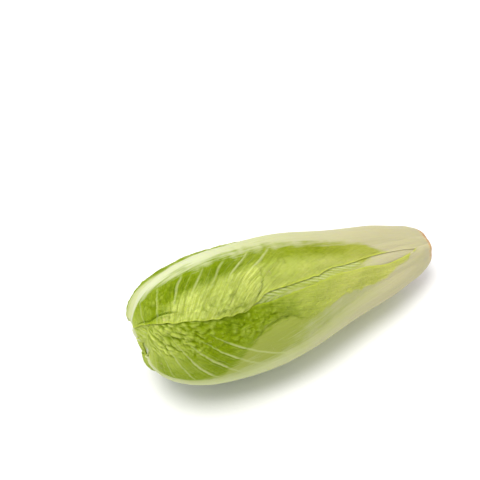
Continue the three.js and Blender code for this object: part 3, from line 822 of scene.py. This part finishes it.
def bud_piece(place):
    """The bud of folded young leaves at the core"""
    t = np.linspace(BUD_FROM + 0.001, BUD_TO - 0.001, 40)
    masks = {"out": np.ones(len(t)), "cut": np.zeros(len(t))}
    radius = np.maximum(bud_height(t), POLE_RADIUS)
    return turned_piece("heart_bud_folded", "heart_bud", t, radius, 48, place, masks)


# ---------------------------------------------------------------- the bundle ends on the cut

BUNDLE_SPACING, BUNDLE_WIDTH = 2.1 * MM, 0.8 * MM
BUNDLE_STANDS_OUT = 0.3  # of its width
BUNDLE_SEED = 5
SMALLEST_BUNDLE, LARGEST_BUNDLE = 0.6, 1.25  # of the usual size
PITH_RING = 0.66  # of the stem's radius
WITHIN_PETIOLE = 0.85  # the share of a petiole's width that has bundles
CUT_WITH_STEM = 0.01  # a leaf whose foot is under this t ends on the cut
STEM_STEPS, PETIOLE_STEPS = 49, 33  # points on each line


def bundle_rows(place, leaves, lies_on):
    """The lines on the cut that bundles stand along: a ring in the stem and an arc in each petiole"""
    round_stem = np.linspace(0, 2 * math.pi, STEM_STEPS)
    rows = [place(0 * round_stem, round_stem, 0 * round_stem + PITH_RING * stem_height(0.0))]
    for leaf in leaves:
        if leaf.foot > CUT_WITH_STEM:
            continue
        fore, aft = (float(side) for side in leaf.margins(leaf.foot))
        from_rib = np.linspace(-WITHIN_PETIOLE * fore, WITHIN_PETIOLE * aft, PETIOLE_STEPS)
        t = np.full(PETIOLE_STEPS, leaf.foot)
        inner, outer, _ = leaf.laid(t, from_rib, *lies_on[leaf.name])
        rows.append(place(t, from_rib + leaf.rib_angle(t), (inner + outer) / 2))
    return rows


def bundle_nodes():
    """Nodes that set a bead at even steps along every line, each a little larger or smaller. Gives the
    tree, and the identifier of each of its inputs"""
    tree = bpy.data.node_groups.new("bundle_ends", "GeometryNodeTree")
    tree.interface.new_socket("Geometry", in_out="INPUT", socket_type="NodeSocketGeometry")
    sockets = {}
    for name, kind in (("Spacing", "Float"), ("Width", "Float"), ("Stands out", "Float"),
                       ("Tilt", "Float"), ("Seed", "Int"), ("Finish", "Material")):
        made = tree.interface.new_socket(name, in_out="INPUT", socket_type="NodeSocket" + kind)
        sockets[name] = made.identifier
    tree.interface.new_socket("Geometry", in_out="OUTPUT", socket_type="NodeSocketGeometry")

    def node(kind, settings=None, values=None):
        """The outputs of any node: its settings first, then what its sockets are given or linked to"""
        made = tree.nodes.new(kind)
        for key, value in (settings or {}).items():
            setattr(made, key, value)
        for key, value in (values or {}).items():
            if isinstance(value, bpy.types.NodeSocket):
                tree.links.new(value, made.inputs[key])
            else:
                made.inputs[key].default_value = value
        return made.outputs

    def product(a, b):
        return node("ShaderNodeMath", {"operation": "MULTIPLY"}, {0: a, 1: b})["Value"]

    given = node("NodeGroupInput")
    line = node("GeometryNodeMeshToCurve", None, {"Mesh": given["Geometry"]})["Curve"]
    steps = {"Curve": line, "Length": given["Spacing"]}
    stepped = node("GeometryNodeResampleCurve", {"mode": "LENGTH"}, steps)["Curve"]
    bead = node("GeometryNodeMeshIcoSphere", None, {"Radius": 0.5, "Subdivisions": 2})["Mesh"]
    bead = node("GeometryNodeSetShadeSmooth", None, {"Geometry": bead})["Geometry"]
    sizes = {2: SMALLEST_BUNDLE, 3: LARGEST_BUNDLE, "Seed": given["Seed"]}
    varied = node("FunctionNodeRandomValue", {"data_type": "FLOAT"}, sizes)[1]
    width = product(varied, given["Width"])
    depth = product(width, given["Stands out"])
    scale = node("ShaderNodeCombineXYZ", None, {"X": depth, "Y": width, "Z": width})["Vector"]
    turn = node("ShaderNodeCombineXYZ", None, {"Y": given["Tilt"]})["Vector"]
    turn = node("FunctionNodeEulerToRotation", None, {"Euler": turn})["Rotation"]
    beads = {"Points": stepped, "Instance": bead, "Rotation": turn, "Scale": scale}
    placed = node("GeometryNodeInstanceOnPoints", None, beads)["Instances"]
    real = node("GeometryNodeRealizeInstances", None, {"Geometry": placed})["Geometry"]
    coated = {"Geometry": real, "Material": given["Finish"]}
    finished = node("GeometryNodeSetMaterial", None, coated)["Geometry"]
    node("NodeGroupOutput", None, {"Geometry": finished})
    return tree, sockets


def bundle_piece(rows, finish):
    """The ends of the vascular bundles, which stand a little proud of the cut once it has dried"""
    lines = bpy.data.meshes.new("bundle_ends")
    edges, count = [], 0
    for row in rows:
        edges += [(count + i, count + i + 1) for i in range(len(row) - 1)]
        count += len(row)
    lines.from_pydata(np.concatenate(rows).tolist(), edges, [])
    piece = bpy.data.objects.new("bundle_ends", lines)
    bpy.context.scene.collection.objects.link(piece)
    tree, sockets = bundle_nodes()
    modifier = piece.modifiers.new("bundles", "NODES")
    modifier.node_group = tree
    inputs = {"Spacing": BUNDLE_SPACING, "Width": BUNDLE_WIDTH, "Stands out": BUNDLE_STANDS_OUT,
              "Tilt": -LYING_TILT, "Seed": BUNDLE_SEED, "Finish": finish}
    for name, value in inputs.items():
        modifier[sockets[name]] = value
    made = piece.evaluated_get(bpy.context.evaluated_depsgraph_get())
    piece.data = bpy.data.meshes.new_from_object(made)
    piece.modifiers.clear()
    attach(piece, "root")
    return piece


# ---------------------------------------------------------------- finishes

LIGHT_LEVEL = 1.5  # how many times as bright as its own colour the studio shows a surface


def linear(level):
    """A display's level, 0 to 255, as an amount of light"""
    level /= 255
    return level / 12.92 if level <= 0.04045 else ((level + 0.055) / 1.055) ** 2.4


def seen(red, green, blue):
    """The colour of a surface that shows as this one, 0 to 255, in the studio's light"""
    return tuple(linear(level) / LIGHT_LEVEL for level in (red, green, blue)) + (1,)


PAINTED_GLOW_STRENGTH = 0.22  # strength of the glow painted in a leaf's own colour where leaves lie close
UNLIT = (0, 0, 0, 1)
# a painted highlight: the near-white colour painted along a midrib's crest
CREST_HIGHLIGHT = seen(242, 245, 222)
BUNDLE_PALE, BUNDLE_DARK = seen(214, 196, 138), seen(176, 138, 84)
CUT_TAN, CUT_DRY = seen(212, 160, 104), seen(228, 208, 158)
STEM_FLESH, STEM_PITH, STEM_RING = seen(232, 222, 190), seen(238, 232, 204), seen(205, 196, 140)
PAPER, PAPER_SHADE = (0.86, 0.86, 0.86, 1), (0.83, 0.83, 0.83, 1)

# shade_and_mottle_green is the darker green of the shade painted into hollows and creases and of
# random darker patches, net that of the paler net of veinlets; young stands for the yellower blade
# that is mixed into green, and foot_ for a colour near the cut
LEAF_COLOURS = {
    "outer": dict(
        flesh=seen(219, 226, 170), foot_flesh=seen(213, 206, 162), green_flesh=seen(172, 184, 78),
        young=seen(224, 238, 128), foot_young=seen(224, 226, 124), green=seen(138, 163, 8),
        foot_green=seen(160, 169, 36), shade_and_mottle_green=seen(96, 124, 0), net=seen(190, 206, 56),
        vein_pale=seen(214, 223, 150)),
    "middle": dict(
        flesh=seen(226, 231, 180), foot_flesh=seen(224, 218, 174), green_flesh=seen(200, 210, 116),
        young=seen(216, 230, 112), foot_young=seen(218, 220, 128), green=seen(174, 198, 42),
        foot_green=seen(188, 196, 72), shade_and_mottle_green=seen(136, 164, 14), net=seen(208, 221, 98),
        vein_pale=seen(222, 230, 160)),
    "heart": dict(
        flesh=seen(234, 234, 192), foot_flesh=seen(230, 224, 182), green_flesh=seen(222, 226, 150),
        young=seen(228, 232, 124), foot_young=seen(230, 230, 146), green=seen(206, 216, 72),
        foot_green=seen(212, 216, 96), shade_and_mottle_green=seen(176, 186, 44), net=seen(228, 232, 130),
        vein_pale=seen(234, 234, 168)),
}


class Value:
    """A shader socket that Python's arithmetic can be used on: each operation adds its Math node"""

    def __init__(self, finish, socket):
        self.finish, self.socket = finish, socket

    def __add__(self, other):
        return self.finish.math("ADD", self, other)

    def __sub__(self, other):
        return self.finish.math("SUBTRACT", self, other)

    def __rsub__(self, other):
        return self.finish.math("SUBTRACT", other, self)

    def __mul__(self, other):
        return self.finish.math("MULTIPLY", self, other)

    def __abs__(self):
        return self.finish.math("ABSOLUTE", self, 0)

    __radd__, __rmul__ = __add__, __mul__

    def clamped(self):
        return self.finish.math("ADD", self, 0, clamp=True)


class Finish:
    """A procedural material and the nodes that make it"""

    def __init__(self, name, **constants):
        """Constants are set on the shader's own sockets, named with _ for each space"""
        self.material = bpy.data.materials.new(name)
        self.material.use_nodes = True
        self.tree = self.material.node_tree
        self.shader = self.tree.nodes["Principled BSDF"]
        for key, value in constants.items():
            self.shader.inputs[key.replace("_", " ")].default_value = value
        self.place = self.node("TexCoord").outputs["Object"]

    def node(self, kind, settings=None, sockets=None):
        """Any node: its settings first, then what its sockets are given or linked to"""
        made = self.tree.nodes.new("ShaderNode" + kind)
        for key, value in (settings or {}).items():
            setattr(made, key, value)
        for key, value in (sockets or {}).items():
            self.feed(made.inputs[key], value)
        return made

    def feed(self, socket, value):
        if isinstance(value, Value):
            value = value.socket
        if isinstance(value, bpy.types.NodeSocket):
            self.tree.links.new(value, socket)
        else:
            socket.default_value = value

    def math(self, operation, a, b, clamp=False):
        made = self.node("Math", {"operation": operation, "use_clamp": clamp}, {0: a, 1: b})
        return Value(self, made.outputs[0])

    def mask(self, name):
        """A mask that is stored on the piece's points"""
        return Value(self, self.node("Attribute", {"attribute_name": name}).outputs["Fac"])

    def mix(self, share, a, b):
        """The colour b over a, by share"""
        settings = {"data_type": "RGBA", "clamp_factor": True}
        return self.node("Mix", settings, {0: share, 6: a, 7: b}).outputs[2]

    def noise(self, scale, vector=None, detail=3.0, roughness=0.5):
        """Noise, with scale features to the metre"""
        sockets = {"Vector": vector or self.place, "Scale": scale, "Detail": detail, "Roughness": roughness}
        return Value(self, self.node("TexNoise", None, sockets).outputs["Fac"])

    def walls(self, scale):
        """1 on the walls of a cell pattern, 0 inside its cells"""
        sockets = {"Vector": self.place, "Scale": scale}
        edge = self.node("TexVoronoi", {"feature": "DISTANCE_TO_EDGE"}, sockets).outputs["Distance"]
        return (1 - Value(self, edge) * 6).clamped()

    def stretched(self, uv_map, scale):
        """One of the leaf's own flat maps, stretched by different amounts along and across it"""
        flat = self.node("UVMap", {"uv_map": uv_map}).outputs["UV"]
        return self.node("Mapping", None, {"Vector": flat, "Scale": scale}).outputs["Vector"]

    def surface(self, color, roughness, height, distance):
        """Feeds the shader; height is read as shares of distance, in metres"""
        bump = self.node("Bump", None, {"Height": height, "Distance": distance, "Strength": 1.0})
        self.feed(self.shader.inputs["Base Color"], color)
        self.feed(self.shader.inputs["Roughness"], roughness)
        self.feed(self.shader.inputs["Normal"], bump.outputs["Normal"])
        return self.material


def leaf_finish(name, flesh, foot_flesh, green_flesh, young, foot_young, green, foot_green, shade_and_mottle_green, net,
                vein_pale):
    """Leaf: pale fleshy midrib, green blade with paler veins, shade painted into its hollows and creases,
    a painted highlight on the midrib's crest, a painted glow where leaves lie close, and a browned cut
    """
    finish = Finish(name, Subsurface_Weight=0.35, Subsurface_Scale=0.003,
                    Subsurface_Radius=(0.8, 1.0, 0.2), Specular_IOR_Level=0.02, Coat_Roughness=0.3,
                    Emission_Strength=PAINTED_GLOW_STRENGTH)
    pale, vein, web, wrinkled = (finish.mask(key) for key in ("pale", "vein", "web", "wrinkled"))
    tone, hollow, cut, rim = (finish.mask(key) for key in ("tone", "hollow", "cut", "rim"))
    along, verdant = finish.mask("along"), finish.mask("verdant")

    # patterns that run along the leaf, with so many features to 100 mm along and across it
    streaks = finish.noise(1.0, finish.stretched("flat", (4, 55, 1)), detail=4.0, roughness=0.6)
    fibres = finish.noise(1.0, finish.stretched("flat", (6, 260, 1)), detail=2.0)
    grooves = finish.noise(1.0, finish.stretched("flat", (3, 105, 1)), detail=3.0, roughness=0.65)
    # those that run with its side veins
    ripples = finish.noise(1.0, finish.stretched("veined", (80, 14, 1)), detail=3.0, roughness=0.6)
    across_veins = finish.noise(1.0, finish.stretched("veined", (42, 7, 1)), detail=2.0)
    fine_veins = (1 - abs(across_veins - 0.5) * 16).clamped() * (wrinkled * 0.8 + 0.2)
    # and those that run no way in particular
    mottle = finish.noise(70.0)
    speckle = finish.noise(520.0, roughness=0.6)
    veinlets = finish.walls(430.0)

    # the blade: yellower to greener, with shade painted into its hollows, creases and under the lobe,
    # darker random patches, and a paler net over it, paler along the margins too
    from_foot = (along * 2.6 + (mottle - 0.5) * 0.6 - 0.6).clamped()
    blade = finish.mix((tone + (mottle - 0.5) * 0.6).clamped(), finish.mix(from_foot, foot_young, young),
                       finish.mix(from_foot, foot_green, green))
    # painted shade from the mask, and random darker patches
    shaded = hollow * 0.9 + (speckle - 0.5) * 0.3 + (ripples - 0.5) * (tone * 0.6 + 0.5)
    blade = finish.mix(shaded.clamped(), blade, shade_and_mottle_green)
    netted = (veinlets * 0.14 + web * 0.16 + fine_veins * 0.45) * (1 - tone * 0.5) + rim * 0.3
    blade = finish.mix(netted.clamped(), blade, net)

    # the flesh of the petiole and midrib, and its ragged edge over the blade
    flesh_share = ((pale - 0.5) * 2.2 + 0.5 + (streaks - 0.5) * 2.8).clamped()
    past_foot = (along * 2.1 + (fibres + mottle - 1) * 0.5 - 0.35).clamped()
    flesh_color = finish.mix(past_foot, foot_flesh, flesh)
    greened = verdant * (streaks + fibres + (mottle - 0.5) * 1.2) + (grooves - 0.52) * 0.5
    flesh_color = finish.mix(greened.clamped(), flesh_color, green_flesh)
    # a painted highlight, in streaks, along the midrib's crest towards the crown
    flesh_color = finish.mix(finish.mask("crest") * (streaks * 0.6 + 0.02), flesh_color, CREST_HIGHLIGHT)
    color = finish.mix(flesh_share, blade, flesh_color)
    color = finish.mix((vein * 1.5 - 0.1).clamped(), color, vein_pale)

    # the foot, dried and tanned in patches near the cut
    dried = finish.mix((cut * 2.2 + (speckle + mottle - 1) * 2.4 - 0.6).clamped(), color, CUT_DRY)
    patches = (speckle + mottle * 1.6 - 1.3) * 3.0
    color = finish.mix((cut * 2.6 + patches - 1.3).clamped() * (cut * 8).clamped(), dried, CUT_TAN)

    roughness = 0.4 + speckle * 0.2 + ripples * 0.06
    bare = 1 - flesh_share
    height = ((veinlets * 0.25 + ripples * 0.7 + fine_veins * 0.6) * bare + speckle * 0.25
              + (fibres * 0.35 - grooves * 0.5) * flesh_share)
    finish.feed(finish.shader.inputs["Coat Weight"], flesh_share * 0.12 + 0.02)
    # a painted glow: the leaf's own colour given off as light along its margins and where leaves lie close
    # over it, lightening the shade in the crevices
    finish.feed(finish.shader.inputs["Emission Color"], finish.mix(finish.mask("close"), UNLIT, color))
    return finish.surface(color, roughness, height, 0.5 * MM)


def stem_finish():
    """Stem: cream flesh, a ringed cut face and a browned rim"""
    finish = Finish("cut stem flesh", Subsurface_Weight=0.15, Subsurface_Scale=0.003,
                    Subsurface_Radius=(1.0, 0.8, 0.4), Specular_IOR_Level=0.4)
    out, cut = finish.mask("out"), finish.mask("cut")
    patches = finish.noise(300.0, detail=4.0, roughness=0.6)
    speckle = finish.noise(1500.0)
    ring = (1 - abs(out - PITH_RING + (patches - 0.5) * 0.12) * 9).clamped()
    face = finish.mix(ring * 0.55, STEM_PITH, STEM_RING)
    browned = ((out - 0.72) * 4 + (patches - 0.5) * 2.4).clamped()
    face = finish.mix(browned * 0.85, face, CUT_TAN)
    color = finish.mix(cut, STEM_FLESH, face)
    height = patches * 0.7 + speckle * 0.5 - ring * 0.4
    return finish.surface(color, 0.5 + speckle * 0.2, height, 0.4 * MM)


def bundle_finish():
    """Bundle ends: woody, tan, darker in places"""
    finish = Finish("bundle ends", Specular_IOR_Level=0.2)
    patches, speckle = finish.noise(260.0), finish.noise(1800.0)
    color = finish.mix(((patches - 0.5) * 2.4 + speckle).clamped(), BUNDLE_PALE, BUNDLE_DARK)
    return finish.surface(color, 0.55 + speckle * 0.2, speckle, 0.3 * MM)


# ---------------------------------------------------------------- the light, the floor and the camera

CAMERA_AZIMUTH = math.radians(-30.8)
CAMERA_ELEVATION = math.radians(44)
CAMERA_DISTANCE = 594 * MM
CAMERA_LENS = 70
AIM_RIGHT, AIM_UP = -33.3 * MM, 31.1 * MM  # from the object's middle to the middle of the view
AIM_HEIGHT = 40 * MM
NEAR, FAR = 0.01, 20
SKY_STRENGTH = 0.9
KEY_PLACE, KEY_SIZE, KEY_WATTS, KEY_COLOUR = (-0.38, -0.05, 1.2), 0.8, 14, (1, 0.985, 0.97)
FLOOR_HALF = 6.0


def set_camera():
    """The camera, above and in front of the heart and towards its crown"""
    a, e = CAMERA_AZIMUTH, CAMERA_ELEVATION
    back = Vector((math.sin(a) * math.cos(e), -math.cos(a) * math.cos(e), math.sin(e)))
    right = Vector((math.cos(a), math.sin(a), 0))
    up = back.cross(right)
    aim = Vector((0, 0, AIM_HEIGHT)) + right * AIM_RIGHT + up * AIM_UP
    data = bpy.data.cameras.new("camera")
    data.lens = CAMERA_LENS
    data.clip_start, data.clip_end = NEAR, FAR
    camera = bpy.data.objects.new("camera", data)
    camera.location = aim + back * CAMERA_DISTANCE
    camera.rotation_euler = back.to_track_quat("Z", "Y").to_euler()
    bpy.context.scene.collection.objects.link(camera)
    bpy.context.scene.camera = camera


def set_key_light():
    """One large soft lamp overhead, facing the middle of the floor"""
    data = bpy.data.lights.new("key", "AREA")
    data.shape, data.size, data.energy, data.color = "DISK", KEY_SIZE, KEY_WATTS, KEY_COLOUR
    lamp = bpy.data.objects.new("key", data)
    lamp.location = KEY_PLACE
    lamp.rotation_euler = Vector(KEY_PLACE).to_track_quat("Z", "Y").to_euler()
    bpy.context.scene.collection.objects.link(lamp)


def set_studio():
    """White surroundings, the lamp and a floor of white paper"""
    world = bpy.data.worlds.new("studio")
    world.use_nodes = True
    world.node_tree.nodes["Background"].inputs["Color"].default_value = (1, 1, 1, 1)
    world.node_tree.nodes["Background"].inputs["Strength"].default_value = SKY_STRENGTH
    scene = bpy.context.scene
    scene.world = world
    scene.view_settings.view_transform = "Standard"
    scene.view_settings.look = "None"
    set_key_light()

    paper = Finish("white paper floor", Roughness=0.9)
    grain = paper.noise(400.0)
    paper.surface(paper.mix(grain * 0.1, PAPER, PAPER_SHADE), 0.85 + grain * 0.1, grain, 0.1 * MM)
    corners = np.array([(-1, -1, 0), (1, -1, 0), (1, 1, 0), (-1, 1, 0)]) * FLOOR_HALF
    floor = mesh_piece("floor", corners, [[0, 1, 2, 3]], {})
    floor.data.materials.append(paper.material)


# ---------------------------------------------------------------- the whole heart

set_camera()
set_studio()

finishes = {kind: leaf_finish(kind + " leaf", **colours) for kind, colours in LEAF_COLOURS.items()}
stem_flesh = stem_finish()

leaves = all_leaves()
lies_on, top = lay(leaves)
place = set_down(top)
for leaf in leaves:
    kind = leaf.name.split("_")[0]
    piece = leaf_piece(leaf, *lies_on[leaf.name], place)
    piece.data.materials.append(finishes[kind])

stem = stem_piece(place)
stem.data.materials.append(stem_flesh)
bundles = bundle_piece(bundle_rows(place, leaves, lies_on), bundle_finish())
bud = bud_piece(place)
bud.data.materials.append(stem_flesh)
